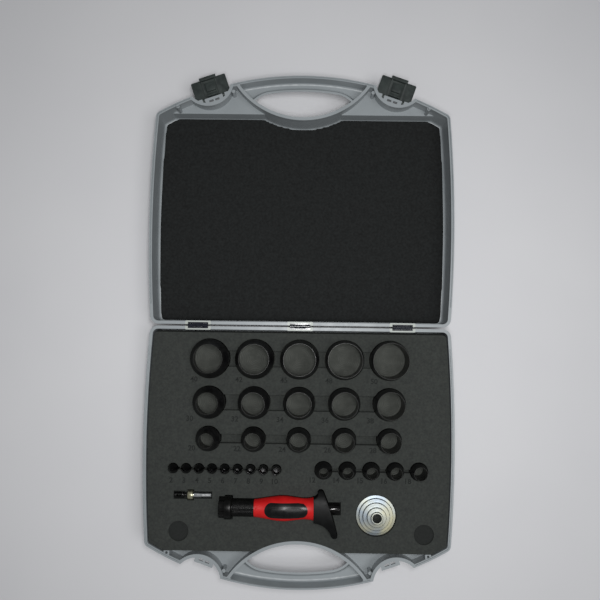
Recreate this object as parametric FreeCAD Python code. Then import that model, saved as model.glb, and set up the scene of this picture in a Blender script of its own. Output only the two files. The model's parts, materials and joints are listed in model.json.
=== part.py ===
import FreeCAD, Part
import math
import os

os.makedirs("parts", exist_ok=True)

# Hollow-punch kit in a two-shell carry case that lies open on a table.
# Millimetres. The model is built round the hinge line (Y = 0): the base lies
# towards -Y, the lid towards +Y, and both shells stand on the table at Z = 0.
# "Reach" is the distance from the hinge line along Y, for either shell.

# ---- case outline ----
shell_depth = 46.0            # table to rim, in each shell
wall = 3.0                    # moulded wall
floor_thickness = 2.8
rim_width = 4.4               # the wall is thicker along the rim
rim_band = 3.5                # height of that thicker band
back_reach = 1.3              # outer face of the back wall
case_half_width = 220.0       # where the sides bow out most
widest_reach = 155.0
side_radius = 2000.0          # of the bowed sides
front_reach = 366.5           # outside of the handle, on the centre line
front_radius = 425.0          # the bowed front, shoulder to shoulder
back_corner_radius = 12.0
shoulder_radius = 9.0
nose_length = 47.5            # from the full-depth tray's front to the handle's outside
apron_depth = 24.0            # the shallower front, rim to its underside
base_edge_radius = 6.0        # outside edge round the underside
floor_fillet = 3.2            # inside, round the tray floor
closing_gap = 0.2             # between the two rims when shut

# ---- grip opening and handle ----
grip_centre_beyond = 53.5     # the wall's centre lies this far outside the handle
grip_radius = 115.5           # curved wall between the tray and the hand
grip_end_radius = 38.0          # the opening rounds off towards its ends
grip_end_x = 43.0
grip_lean = 0.42               # the bar's inner wall leans outwards this much per mm down
handle_width = 23.9           # bar between the fingers and the outside
grip_outer_radius = 321.0
channel_end_radius = 2.0      # upright corners of the handle channel
channel_fillet = 3.4          # rounds the floor of the handle channel

# ---- latch cups and ledges ----
cup_inset = 80.4              # cup centre, in from the widest point
cup_beyond = 14.9             # its centre lies this far outside the bowed front
cup_radius = 33.4
ledge_setback = 25.1          # ledge edge behind the cup's centre
ledge_thickness = 3.0
ledge_half_width = 13.5
ledge_arm_space = 3.4          # open gap at each end of the ledge
ledge_pin_setback = 1.6        # the latch's bar lies this far behind the ledge's edge
ledge_nub_depth = 5.0          # lugs on the cup's wall that carry the bar's outer ends
ledge_window_x = 4.5
ledge_window_length = 6.4
ledge_window_width = 3.2
ledge_window_setback = 5.3

# ---- latches ----
latch_side_gap = 0.5          # to the cup's wall, when shut
latch_plate = 2.5
latch_reach = 34.0            # pivot to the free edge
latch_drop = 8.0              # pivot down to the plate's inner face
latch_flange = 1.8
latch_flange_height = 1.0
latch_rib = 1.6
latch_rib_x = 10.5
latch_rib_height = 3.0
latch_boss_width = 13.0
latch_boss_length = 12.0
latch_boss_height = 3.6
latch_boss_setback = 14.0
latch_lip_width = 25.0
latch_lip_thickness = 3.0
latch_lip_height = 5.5
latch_arm_width = 2.8
latch_pin_radius = 1.0
latch_ring_wall = 1.2
latch_hook_width = 16.0
latch_hook_thickness = 2.6
latch_hook_bite = 1.7         # how far the hook reaches under the base ledge
latch_corner_radius = 2.0

# ---- hinges ----
hinge_inset = 74.0            # outer hinges, in from the widest point
hinge_window_width = 29.0
hinge_window_reach = 4.4
hinge_window_depth = 10.0
hinge_frame_x = 3.3
hinge_frame_y = 2.0
hinge_frame_floor = 2.0
hinge_leaf = 1.4
hinge_knuckle_radius = 2.2
hinge_pin_radius = 0.9
hinge_knuckle_gap = 0.3
hinge_middle_share = 0.5      # the lid's knuckle takes this share of the window

# ---- tongue, groove and corner pegs ----
tongue_inset = 1.6
tongue_width = 1.2
tongue_height = 1.5
tongue_start_reach = 30.0
peg_inset = 37.0              # in from the widest point
peg_socket_width = 8.0
peg_socket_wall = 1.0
peg_radius = 1.5
peg_clearance = 0.3
peg_height = 4.0
peg_boss_radius = 2.6
post_from_cup = 37.1          # core post, towards the middle from the cup
post_inset = 10.4             # behind the bowed front
post_radius = 2.6

# ---- foam ----
foam_gap = 2.0                # round the foam, inside the rim
foam_front_gap = 0.4
foam_below_rim = 1.0
foam_fillet_gap = 0.3         # its cut-back lower edge clears the tray's fillet
lid_foam_thickness = 5.0
pocket_clearance = 1.0
seat_gap = 0.2                # a tool stands this far off the pocket floor

# ---- ring punches, in three rows of five ----
punch_pitch = 64.0
punch_height = 36.0
punch_pocket_depth = 16.0
punch_wall = 3.5              # at the back, round the seat
punch_seat_depth = 4.6        # plain bore at the back that fits the adaptor
punch_taper = 15.0            # length of the outside taper behind the cutting edge
punch_edge = 0.3              # flat left at the cutting edge
large_row = {"body": 55.0, "sizes": (40, 42, 45, 48, 50), "slot": 23.0}
middle_row = {"body": 45.0, "sizes": (30, 32, 34, 36, 38), "slot": 22.5}
small_row = {"body": 34.0, "sizes": (20, 22, 24, 26, 28), "slot": 13.0}
finger_slot_depth = 9.5

# ---- short row of five, right ----
short_row = {"body": 24.0, "sizes": (12, 14, 15, 16, 18), "slot": 5.0}
short_last_inset = 50.1       # last punch, in from the widest point
short_pitch = 33.6
short_height = 32.0

# ---- fine punches, left ----
fine_row = {"body": 13.0, "sizes": (2, 3, 4, 5, 6, 7, 8, 9, 10), "slot": 4.0}
fine_first_inset = 43.5       # first punch, in from the widest point
fine_pitch = 18.2
fine_height = 30.0
fine_shoulder = 20.0          # height of the thick shank
fine_bore_floor = 10.0        # the bore stops above the back end
fine_window_height = 8.0
fine_window_drop = 2.0        # the window starts this far below the shoulder
fine_window_turn = 35.0       # degrees, the chip window leans

# ---- hand tool, lying along X ----
tool_inset = 110.0            # front face of the clamp nut, in from the widest point
nut_ring_radius = 14.0
nut_ring_length = 8.0
nut_collar_radius = 16.0
nut_collar_length = 10.0
nut_bore_radius = 9.0
nut_notches = 6
nut_notch_width = 4.0
nut_notch_depth = 1.6
nut_seat_depth = 13.0         # the sleeve's spigot inside the nut
running_gap = 0.05
sleeve_radius = 11.7
sleeve_length = 31.0
sleeve_bore_radius = 6.25
sleeve_bore_depth = 26.0
grip_front_radius = 11.9
grip_bulge_radius = 17.0
grip_waist_radius = 14.2
grip_back_radius = 15.8
grip_front_step = 8.0
grip_front_rise = 1.0
grip_bulge_at = 44.0
grip_waist_at = 73.0
grip_length = 83.0
inlay_length = 60.0
inlay_width = 21.0
inlay_seat = 10.5             # flat floor under the inlay, above the axis
inlay_at = 45.0               # its middle, from the front of the grip
strip_length = 43.0
strip_width = 8.0
strip_proud = 1.2
shank_radius = 5.0            # steel core through the grip
head_radius = 8.0
head_length = 17.0
head_chamfer = 1.2
guard_tail = 20.5             # guard length along the axis
guard_up = 26.0               # short wing
guard_down = 40.0             # long wing
guard_rake = 19.2             # how far back the long wing's tip lies behind the short one
guard_depth = 15.0            # half height of the guard across the wings
guard_tip_x = 10.3            # short wing's tip, from the end of the grip
guard_tip = 3.8               # radius of the wing tips
guard_bow = 1.5               # the front face bulges
guard_short_sag = 2.6         # hollow behind the short wing
guard_long_sag = 6.5          # hollow behind the long wing

# ---- stepped adaptor ----
adaptor_inset = 110.0         # its centre, in from the widest point
adaptor_beyond_tool = 9.0     # its centre, in front of the tool's axis
adaptor_flange_radius = 27.8
adaptor_flange = 5.0
adaptor_step = 4.0
adaptor_bore_radius = 6.3
adaptor_pocket_depth = 8.0
adaptor_chamfer = 0.5
adaptor_fit = 0.05

# ---- centring pin, lying along X ----
pin_inset = 46.0              # its slotted end, in from the widest point
pin_behind_tool = 16.0        # its axis, behind the tool's axis
pin_end_radius = 4.85
pin_end_length = 14.0
pin_neck_radius = 3.4
pin_neck_length = 5.0
pin_collar_radius = 6.7
pin_collar_length = 8.0
pin_shank_radius = 4.2
pin_shank_length = 25.5
pin_point = 5.0
pin_window_length = 8.0
pin_window_width = 4.2
pin_pocket_depth = 8.5

# ---- two round recesses in the foam's front corners ----
recess_radius = 14.0
recess_depth = 2.5
recess_left_inset = 53.0
recess_right_inset = 43.0
recess_from_front = 30.0

# ---- rows of the foam, back to front ----
# spare length before each row, and before the foam's front, as shares of the whole
row_gaps = {"large": 11.8, "middle": 12.0, "small": 11.5, "short": 13.0, "tool": 15.0, "front": 20.6}

# ---- worked out from the above ----
body_front_reach = front_reach - nose_length
grip_centre_reach = front_reach + grip_centre_beyond
grip_outer_reach = front_reach - handle_width
cup_x = case_half_width - cup_inset
cup_turn = math.degrees(math.asin(cup_x / front_radius))
front_centre_reach = front_reach - front_radius
cup_reach = front_centre_reach + math.sqrt(front_radius ** 2 - cup_x ** 2) + cup_beyond
hinge_pitch = case_half_width - hinge_inset
peg_x = case_half_width - peg_inset
peg_reach = body_front_reach - wall + peg_socket_wall + peg_radius + peg_clearance
post_x = cup_x - post_from_cup
post_reach = front_centre_reach + math.sqrt(front_radius ** 2 - post_x ** 2) - post_inset
axis_z = shell_depth + closing_gap / 2
foam_top = shell_depth - foam_below_rim
apron_bottom = shell_depth - apron_depth
apron_floor = apron_bottom + floor_thickness
lid_foam_top = floor_thickness + lid_foam_thickness
latch_z = shell_depth - ledge_thickness / 2
latch_pivot = -(ledge_setback + ledge_pin_setback)
latch_stand = ledge_setback + ledge_pin_setback - latch_drop + latch_flange_height
latch_arm_x = ledge_half_width + ledge_arm_space / 2
latch_width = 2 * (math.sqrt(cup_radius ** 2 - latch_stand ** 2) - latch_side_gap)
foam_back = back_reach + rim_width + foam_gap
foam_front = body_front_reach - wall - foam_front_gap
row_bodies = {"large": large_row["body"], "middle": middle_row["body"], "small": small_row["body"],
              "short": short_row["body"], "tool": guard_up + guard_down}
spare_length = foam_front - foam_back - sum(row_bodies.values())
row_starts = {}
row_start = foam_back
for row_name, share in row_gaps.items():
    row_start += spare_length * share / sum(row_gaps.values())
    row_starts[row_name] = row_start
    row_start += row_bodies.get(row_name, 0)
row_names = list(row_bodies)
strip_cuts = [(row_starts[before] + row_bodies[before] + row_starts[after]) / 2
              for before, after in zip(row_names, row_names[1:])]
large_row["reach"] = row_starts["large"] + large_row["body"] / 2
middle_row["reach"] = row_starts["middle"] + middle_row["body"] / 2
small_row["reach"] = row_starts["small"] + small_row["body"] / 2
short_row["reach"] = row_starts["short"] + short_row["body"] / 2
fine_row["reach"] = short_row["reach"]
tool_reach = row_starts["tool"] + guard_up
tool_nut_x = tool_inset - case_half_width
adaptor_x = case_half_width - adaptor_inset
adaptor_reach = tool_reach + adaptor_beyond_tool
pin_reach = tool_reach - pin_behind_tool
pin_x = pin_inset - case_half_width
recess_reach = body_front_reach - recess_from_front
foam_bed_top = foam_top - punch_pocket_depth
foam_low_gap = floor_fillet + foam_fillet_gap
foam_curve_gap = rim_width - wall + foam_front_gap
tool_z = foam_bed_top + seat_gap + grip_bulge_radius
pin_z = foam_top - pin_pocket_depth + seat_gap + pin_collar_radius
origin_shift = body_front_reach / 2      # origin: middle of the base's underside
over = 1.0                               # overrun of cutting tools
same = 0.01                              # two heights or places count as one within this


def at(x, y, z):
    return FreeCAD.Vector(x, y, z)


def slab(x0, y0, z0, x1, y1, z1):
    return Part.makeBox(x1 - x0, y1 - y0, z1 - z0, at(x0, y0, z0))


def disc(x, y, radius, z0, z1):
    return Part.makeCylinder(radius, z1 - z0, at(x, y, z0))


def upright_edges(solid):
    edges = []
    for edge in solid.Edges:
        box = edge.BoundBox
        if box.XLength < same and box.YLength < same:
            edges.append(edge)
    return edges


def edges_at_height(solid, z):
    edges = []
    for edge in solid.Edges:
        box = edge.BoundBox
        if abs(box.ZMin - z) < same and abs(box.ZMax - z) < same:
            edges.append(edge)
    return edges


def joined(solids):
    whole = solids[0]
    for solid in solids[1:]:
        whole = whole.fuse(solid)
    return whole.removeSplitter()


def mirrored_across_hinge(shape):
    return shape.mirror(at(0, 0, 0), at(0, 1, 0))


def turned_round(profile, centre):
    """Solid of revolution about Z from (radius, height) points."""
    points = [at(radius, 0, height) for radius, height in profile]
    points.append(points[0])
    solid = Part.Face(Part.makePolygon(points)).revolve(at(0, 0, 0), at(0, 0, 1), 360)
    solid.translate(centre)
    return solid


def laid_along_x(solid, centre):
    """Turn a solid built along Z so that its height runs along X."""
    solid = solid.copy()
    solid.rotate(at(0, 0, 0), at(0, 1, 0), 90)
    solid.translate(centre)
    return solid


# ---- case shells ----
def outline_prism(inset, z0, z1):
    """Whole shell in plan, on the lid's side of the hinge, drawn in by an inset."""
    front = disc(0, front_centre_reach, front_radius - inset, z0, z1)
    block = slab(-case_half_width, back_reach + inset, z0, case_half_width, front_reach, z1).common(front)
    for side in (-1, 1):
        bow = disc(0, 0, side_radius - inset, z0, z1)
        bow.rotate(at(0, 0, 0), at(0, 0, 1), 90 + side * 90)
        bow.translate(at(side * (case_half_width - side_radius), widest_reach, 0))
        block = block.common(bow)
    block = block.Solids[0]
    corners = upright_edges(block)
    back = [edge for edge in corners if edge.CenterOfMass.y < widest_reach]
    block = block.makeFillet(back_corner_radius - inset, back)
    shoulders = [edge for edge in upright_edges(block) if edge.CenterOfMass.y > widest_reach]
    return block.makeFillet(shoulder_radius - inset, shoulders)


def leaning_disc(x, y, radius):
    """Reaches its radius at the rim and grows downwards, through the whole apron."""
    low = apron_bottom - over
    return Part.makeCone(radius + grip_lean * (shell_depth - low), radius - grip_lean * over,
                         shell_depth + over - low, at(x, y, low))


def grip_opening(outset):
    """For the fingers, between the tray's curved wall and the handle bar."""
    low = apron_bottom - over
    centre_reach = grip_outer_reach - grip_outer_radius
    end_reach = centre_reach + math.sqrt((grip_outer_radius - grip_end_radius) ** 2 - grip_end_x ** 2)
    spread = 2 * grip_end_x
    centre = at(0, centre_reach, low)
    beyond = centre_reach + 2 * (end_reach - centre_reach)
    sector = Part.Face(Part.makePolygon([centre, at(spread, beyond, low), at(-spread, beyond, low), centre]))
    opening = sector.extrude(at(0, 0, shell_depth + over - low))
    opening = opening.common(leaning_disc(0, centre_reach, grip_outer_radius + outset))
    for side in (-1, 1):
        opening = opening.fuse(leaning_disc(side * grip_end_x, end_reach, grip_end_radius + outset))
    return opening.common(disc(0, grip_centre_reach, grip_radius + outset, low, shell_depth + over))


def tray_region(inset, z0, z1):
    """Everything behind the front of the full-depth tray, clear of the grip wall."""
    reach = body_front_reach - inset
    block = slab(-case_half_width - over, 0, z0, case_half_width + over, reach, z1)
    return block.cut(disc(0, grip_centre_reach, grip_radius + inset, z0 - over, z1 + over))


def cup_discs(radius, z0, z1):
    return [disc(side * cup_x, cup_reach, radius, z0, z1) for side in (-1, 1)]


def placed_in_cup(solid, side):
    """From the cup's own frame (X along its mouth, Y outwards) to the case."""
    placed = solid.copy()
    placed.rotate(at(0, 0, 0), at(0, 0, 1), -side * cup_turn)
    placed.translate(at(side * cup_x, cup_reach, 0))
    return placed


def tray_cavity():
    low_top = shell_depth - rim_band
    low = outline_prism(wall, floor_thickness, low_top + over)
    low = low.common(tray_region(wall, floor_thickness, low_top + over))
    low = low.makeFillet(floor_fillet, edges_at_height(low, floor_thickness))
    low = low.cut(slab(-case_half_width, 0, low_top, case_half_width, front_reach, low_top + 2 * over))
    return low


def apron_cavity(inset, z0, z1):
    """Front pockets either side of the handle, clear of the latch cups."""
    block = outline_prism(inset, z0, z1)
    block = block.cut(disc(0, grip_centre_reach, grip_radius + inset, z0 - over, z1 + over))
    for cup in cup_discs(cup_radius + inset, z0 - over, z1 + over):
        block = block.cut(cup)
    return block


def handle_channel():
    block = outline_prism(wall, apron_floor, shell_depth + over)
    block = block.common(disc(0, grip_centre_reach, grip_radius, apron_floor, shell_depth + over))
    block = block.cut(grip_opening(wall))
    block = max(block.Solids, key=lambda solid: solid.Volume)
    block = block.makeFillet(channel_end_radius, upright_edges(block))
    return block.makeFillet(channel_fillet, edges_at_height(block, apron_floor))


def ledge(side, with_pins):
    """Plate at the back of the cup, level with the rim, that the latch grips or hooks."""
    z0 = shell_depth - ledge_thickness
    reach = 2 * cup_radius
    web = slab(-ledge_half_width, -reach, z0, ledge_half_width, -ledge_setback, shell_depth)
    for way in (-1, 1):
        window_x = way * ledge_window_x
        window_y = -ledge_setback - ledge_window_setback
        web = web.cut(slab(window_x - ledge_window_length / 2, window_y - ledge_window_width / 2, z0 - over,
                           window_x + ledge_window_length / 2, window_y + ledge_window_width / 2,
                           shell_depth + over))
        if with_pins:
            lug = slab(ledge_half_width + ledge_arm_space, latch_pivot - ledge_nub_depth / 2, z0,
                       reach, latch_pivot + ledge_nub_depth / 2, shell_depth)
            bridge = Part.makeCylinder(latch_pin_radius, ledge_arm_space + 2 * over,
                                       at(ledge_half_width - over, latch_pivot, latch_z), at(1, 0, 0))
            arm_side = lug.fuse(bridge)
            if way < 0:
                arm_side = arm_side.mirror(at(0, 0, 0), at(1, 0, 0))
            web = web.fuse(arm_side)
    return placed_in_cup(web.common(disc(0, 0, cup_radius + wall / 2, z0, shell_depth)), side)


def hinge_housing(x):
    return slab(x - hinge_window_width / 2 - hinge_frame_x, back_reach,
                shell_depth - hinge_window_depth - hinge_frame_floor,
                x + hinge_window_width / 2 + hinge_frame_x, hinge_window_reach + hinge_frame_y, shell_depth)


def hinge_window(x):
    return slab(x - hinge_window_width / 2, 0, shell_depth - hinge_window_depth,
                x + hinge_window_width / 2, hinge_window_reach, shell_depth + over)


def rim_ring(inner_gap, z0, z1):
    """Band that follows the rim: the base's tongue, or with a gap the lid's groove."""
    ring = outline_prism(tongue_inset - inner_gap, z0, z1)
    ring = ring.cut(outline_prism(tongue_inset + tongue_width + inner_gap, z0 - over, z1 + over))
    ring = ring.cut(slab(-case_half_width - over, 0, z0 - over,
                         case_half_width + over, tongue_start_reach, z1 + over))
    for cup in cup_discs(cup_radius + rim_width, z0 - over, z1 + over):
        ring = ring.cut(cup)
    return ring


def shell_blank(with_pins):
    """The shell that base and lid share, modelled on the lid's side."""
    tray = outline_prism(0, 0, shell_depth).common(tray_region(0, 0, shell_depth))
    tray = tray.makeFillet(base_edge_radius, edges_at_height(tray, 0))
    apron = outline_prism(0, apron_bottom, shell_depth)
    shell = tray.fuse(apron).removeSplitter()
    for x in (-hinge_pitch, 0, hinge_pitch):
        shell = shell.fuse(hinge_housing(x))
    rim_low = shell_depth - rim_band
    shell = shell.cut(tray_cavity())
    shell = shell.cut(apron_cavity(wall, apron_floor, rim_low))
    shell = shell.cut(apron_cavity(rim_width, rim_low - same, shell_depth + over))
    shell = shell.cut(handle_channel())
    shell = shell.cut(grip_opening(0))
    for x in (-hinge_pitch, 0, hinge_pitch):
        shell = shell.fuse(hinge_housing(x).common(outline_prism(0, 0, shell_depth)))
        shell = shell.cut(hinge_window(x))
    for cup in cup_discs(cup_radius, apron_bottom - over, shell_depth + over):
        shell = shell.cut(cup)
    for side in (-1, 1):
        shell = shell.fuse(ledge(side, with_pins).common(outline_prism(0, 0, shell_depth + over)))
    for side in (-1, 1):
        shell = shell.fuse(disc(side * post_x, post_reach, post_radius, apron_floor - over,
                                shell_depth - rim_band))
    return shell


def build_base_shell():
    shell = shell_blank(False)
    shell = shell.fuse(rim_ring(0, shell_depth - over, shell_depth + tongue_height))
    for side in (-1, 1):
        half = peg_socket_width / 2
        x = side * peg_x
        bore_radius = peg_radius + peg_clearance
        socket = slab(x - half, peg_reach - bore_radius - peg_socket_wall, apron_floor - over,
                      x + half, peg_reach + peg_socket_width, shell_depth - foam_below_rim)
        socket = socket.common(outline_prism(over, 0, shell_depth))
        bore = disc(x, peg_reach, bore_radius, apron_floor + over, shell_depth + over)
        shell = shell.fuse(socket).cut(bore)
    return mirrored_across_hinge(shell.removeSplitter())


def build_lid_shell():
    shell = shell_blank(True)
    shell = shell.cut(rim_ring(closing_gap, shell_depth - tongue_height - closing_gap, shell_depth + over))
    for side in (-1, 1):
        x = side * peg_x
        boss = disc(x, peg_reach, peg_boss_radius, apron_floor - over, shell_depth)
        peg = disc(x, peg_reach, peg_radius, apron_floor, shell_depth + peg_height)
        shell = shell.fuse(boss.fuse(peg))
    return shell.removeSplitter()


# ---- hinges and latches ----
def hinge_half(x, side, spans):
    """Black leaf in its window with knuckles over the given X spans. side: -1 base, 1 lid."""
    half = hinge_window_width / 2
    inner = hinge_window_reach - hinge_leaf
    leaf = slab(x - half, inner, shell_depth - hinge_window_depth,
                x + half, hinge_window_reach, shell_depth)
    for x0, x1 in spans:
        knuckle = Part.makeCylinder(hinge_knuckle_radius, x1 - x0, at(x0, 0, axis_z), at(1, 0, 0))
        web = slab(x0, 0, axis_z - hinge_knuckle_radius, x1, hinge_window_reach, shell_depth)
        leaf = leaf.fuse(knuckle).fuse(web)
    bore = Part.makeCylinder(hinge_pin_radius + running_gap, hinge_window_width + 2 * over,
                             at(x - half - over, 0, axis_z), at(1, 0, 0))
    leaf = leaf.cut(bore).removeSplitter()
    if side < 0:
        leaf = mirrored_across_hinge(leaf)
    return leaf


def build_hinge(x):
    half = hinge_window_width / 2
    middle = half * hinge_middle_share
    gap = hinge_knuckle_gap
    base_leaf = hinge_half(x, -1, [(x - half + gap, x - middle - gap), (x + middle + gap, x + half - gap)])
    lid_leaf = hinge_half(x, 1, [(x - middle, x + middle)])
    pin = Part.makeCylinder(hinge_pin_radius, 2 * (half - gap), at(x - half + gap, 0, axis_z), at(1, 0, 0))
    return base_leaf, lid_leaf, pin


def build_latch(side):
    """Snap latch, swung open: its ribbed inner face is up."""
    half = latch_width / 2
    plate_top = latch_z - latch_drop
    plate_low = plate_top - latch_plate
    free_edge = latch_pivot + latch_reach
    hook_y = latch_pivot + ledge_thickness / 2 + 2 * closing_gap + ledge_thickness
    plan = slab(-half, hook_y, plate_low, half, free_edge, plate_top)
    plan = plan.makeFillet(latch_corner_radius, upright_edges(plan))
    inside_cup = disc(0, 0, cup_radius - pocket_clearance, 0, shell_depth)
    outside_cup = slab(-half, 0, 0, half, free_edge + over, shell_depth)
    keep = inside_cup.fuse(outside_cup)
    latch = plan.common(keep)
    rim_z = plate_top + latch_flange_height
    for way in (-1, 1):
        edge = way * (half - latch_flange / 2)
        flange = slab(edge - latch_flange / 2, hook_y, plate_low, edge + latch_flange / 2,
                      free_edge - latch_corner_radius, rim_z)
        latch = latch.fuse(flange.common(keep))
        rib_x = way * latch_rib_x
        rib = slab(rib_x - latch_rib / 2, hook_y, plate_low, rib_x + latch_rib / 2,
                   free_edge - latch_corner_radius, plate_top + latch_rib_height)
        latch = latch.fuse(rib)
        arm_x = way * latch_arm_x
        ring_radius = latch_pin_radius + latch_ring_wall
        ring = Part.makeCylinder(ring_radius, latch_arm_width,
                                 at(arm_x - latch_arm_width / 2, latch_pivot, latch_z), at(1, 0, 0))
        web = slab(arm_x - latch_arm_width / 2, latch_pivot - ring_radius, plate_low,
                   arm_x + latch_arm_width / 2, latch_pivot + ring_radius, latch_z)
        foot = slab(arm_x - latch_arm_width / 2, latch_pivot, plate_low,
                    arm_x + latch_arm_width / 2, hook_y + latch_hook_thickness, plate_top)
        bore = Part.makeCylinder(latch_pin_radius + running_gap, latch_arm_width + 2 * over,
                                 at(arm_x - latch_arm_width / 2 - over, latch_pivot, latch_z), at(1, 0, 0))
        latch = latch.fuse(ring.fuse(web).fuse(foot)).cut(bore)
    boss_y = latch_pivot + latch_boss_setback
    latch = latch.fuse(slab(-latch_boss_width / 2, boss_y, plate_low, latch_boss_width / 2,
                            boss_y + latch_boss_length, plate_top + latch_boss_height))
    hook_top = latch_z - ledge_pin_setback + latch_hook_bite
    latch = latch.fuse(slab(-latch_hook_width / 2, hook_y, plate_low, latch_hook_width / 2,
                            hook_y + latch_hook_thickness, hook_top))
    latch = latch.fuse(slab(-latch_lip_width / 2, free_edge - latch_lip_thickness, plate_low,
                            latch_lip_width / 2, free_edge + latch_lip_thickness / 2,
                            plate_top + latch_lip_height))
    return placed_in_cup(latch.removeSplitter(), side)


# ---- foam ----
def foam_slab(front_gap, curve_gap, z0, z1):
    """Sheet of foam in the outline of the full-depth tray, with its gaps to the front walls."""
    block = outline_prism(rim_width + foam_gap, z0, z1)
    front = body_front_reach - wall - front_gap
    block = block.common(slab(-case_half_width, 0, z0, case_half_width, front, z1))
    block = block.cut(disc(0, grip_centre_reach, grip_radius + wall + curve_gap, z0 - over, z1 + over))
    for cup in cup_discs(cup_radius + wall + curve_gap, z0 - over, z1 + over):
        block = block.cut(cup)
    return block


def bottom_sheet(z1):
    """Lies on the tray's floor, cut back below to clear the fillet round it."""
    step_z = floor_thickness + foam_low_gap
    foot = foam_slab(foam_low_gap, foam_low_gap, floor_thickness, step_z)
    return foot.fuse(foam_slab(foam_front_gap, foam_curve_gap, step_z, z1)).removeSplitter()


def row_places(row):
    """(x, -reach, size) for each punch of a row."""
    first = row.get("first_x", -punch_pitch * (len(row["sizes"]) - 1) / 2)
    pitch = row.get("pitch", punch_pitch)
    return [(first + pitch * i, -row["reach"], size) for i, size in enumerate(row["sizes"])]


short_row["first_x"] = case_half_width - short_last_inset - short_pitch * (len(short_row["sizes"]) - 1)
short_row["pitch"] = short_pitch
fine_row["first_x"] = fine_first_inset - case_half_width
fine_row["pitch"] = fine_pitch
all_rows = (large_row, middle_row, small_row, short_row, fine_row)


def row_pockets(row):
    """Round holes through the top layer, and a shallow slot for the fingers along the row."""
    places = row_places(row)
    radius = row["body"] / 2 + pocket_clearance
    half = row["slot"] / 2
    cutters = [disc(x, y, radius, foam_bed_top - over, foam_top + over) for x, y, size in places]
    cutters.append(slab(places[0][0], -row["reach"] - half, foam_top - finger_slot_depth,
                        places[-1][0], -row["reach"] + half, foam_top + over))
    return cutters


def tool_pocket():
    """Hole through the top layer in the outline of the hand tool."""
    z0 = foam_bed_top - over
    z1 = foam_top + over
    collar_x = tool_nut_x + nut_ring_length
    sleeve_x = collar_x + nut_collar_length
    guard_x = grip_x + grip_length
    spans = [
        (tool_nut_x, collar_x, nut_ring_radius),
        (collar_x, sleeve_x, nut_collar_radius),
        (sleeve_x, grip_x, sleeve_radius),
        (guard_x, guard_x + guard_tail + head_length, head_radius),
    ]
    cutters = [grip_plan(pocket_clearance, z0, z1), guard_plan(pocket_clearance, z0, z1)]
    for x0, x1, radius in spans:
        half = radius + pocket_clearance
        cutters.append(slab(x0 - pocket_clearance, -tool_reach - half, z0,
                            x1 + pocket_clearance, -tool_reach + half, z1))
    return cutters


def pin_pocket():
    collar_x = pin_x + pin_end_length + pin_neck_length
    shank_x = collar_x + pin_collar_length
    spans = [
        (pin_x, collar_x, pin_end_radius),
        (collar_x, shank_x, pin_collar_radius),
        (shank_x, shank_x + pin_shank_length, pin_shank_radius),
    ]
    cutters = []
    for x0, x1, radius in spans:
        half = radius + pocket_clearance
        cutters.append(slab(x0 - pocket_clearance, -pin_reach - half, foam_top - pin_pocket_depth,
                            x1 + pocket_clearance, -pin_reach + half, foam_top + over))
    return cutters


def build_foam_bed():
    return mirrored_across_hinge(bottom_sheet(foam_bed_top))


def build_foam_strips():
    """Top layer with a pocket for every tool, laid as one strip for each row."""
    layer = mirrored_across_hinge(foam_slab(foam_front_gap, foam_curve_gap, foam_bed_top, foam_top))
    cutters = tool_pocket() + pin_pocket()
    for row in all_rows:
        cutters += row_pockets(row)
    cutters.append(disc(adaptor_x, -adaptor_reach, adaptor_flange_radius + pocket_clearance,
                        foam_top - adaptor_pocket_depth, foam_top + over))
    for x in (recess_left_inset - case_half_width, case_half_width - recess_right_inset):
        cutters.append(disc(x, -recess_reach, recess_radius, foam_top - recess_depth, foam_top + over))
    layer = layer.cut(joined(cutters)).removeSplitter()
    strips = {}
    ends = [0] + strip_cuts + [front_reach]
    for row_name, start, end in zip(row_names, ends, ends[1:]):
        strips[row_name] = layer.common(slab(-case_half_width, -end, foam_bed_top - over,
                                             case_half_width, -start, foam_top + over))
    return strips


def build_lid_foam():
    return bottom_sheet(lid_foam_top)


# ---- punches ----
def ring_punch(x, y, size, body, height):
    """Open steel ring, cutting edge up: tapered outside, plain seat bore at the back."""
    outer = body / 2
    edge = size / 2
    seat = outer - punch_wall
    profile = [
        (seat, 0),
        (outer, 0),
        (outer, height - punch_taper),
        (edge + punch_edge, height),
        (edge, height),
        (seat, punch_seat_depth),
    ]
    return turned_round(profile, at(x, y, foam_top - punch_pocket_depth + seat_gap))


def fine_punch(x, y, size, body, height):
    """Tube punch on a round shank with a leaning chip window through one side."""
    outer = body / 2
    bore = size / 2
    profile = [
        (0, 0),
        (outer, 0),
        (outer, fine_shoulder),
        (bore + punch_edge, height),
        (bore, height),
        (bore, fine_bore_floor),
        (0, fine_bore_floor),
    ]
    base = at(x, y, foam_top - punch_pocket_depth + seat_gap)
    punch = turned_round(profile, base)
    half = bore + punch_edge
    window = slab(-half, -outer - over, 0, half, 0, fine_window_height)
    window.rotate(at(0, 0, 0), at(1, 0, 0), fine_window_turn)
    window.translate(base + at(0, 0, fine_shoulder - fine_window_drop))
    return punch.cut(window)


# ---- hand tool ----
def grip_profile():
    """Half outline of the grip as points along its axis."""
    return [
        (0, grip_front_radius),
        (grip_front_step, grip_front_radius + grip_front_rise),
        (grip_bulge_at, grip_bulge_radius),
        (grip_waist_at, grip_waist_radius),
        (grip_length, grip_back_radius),
    ]


def grip_solid(inset):
    curve = Part.BSplineCurve()
    curve.interpolate([at(radius - inset, 0, along) for along, radius in grip_profile()])
    first = at(shank_radius, 0, 0)
    last = at(shank_radius, 0, grip_length)
    outline_edges = [
        Part.LineSegment(first, curve.value(curve.FirstParameter)).toShape(),
        curve.toShape(),
        Part.LineSegment(curve.value(curve.LastParameter), last).toShape(),
        Part.LineSegment(last, first).toShape(),
    ]
    return Part.Face(Part.Wire(outline_edges)).revolve(at(0, 0, 0), at(0, 0, 1), 360)


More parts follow.
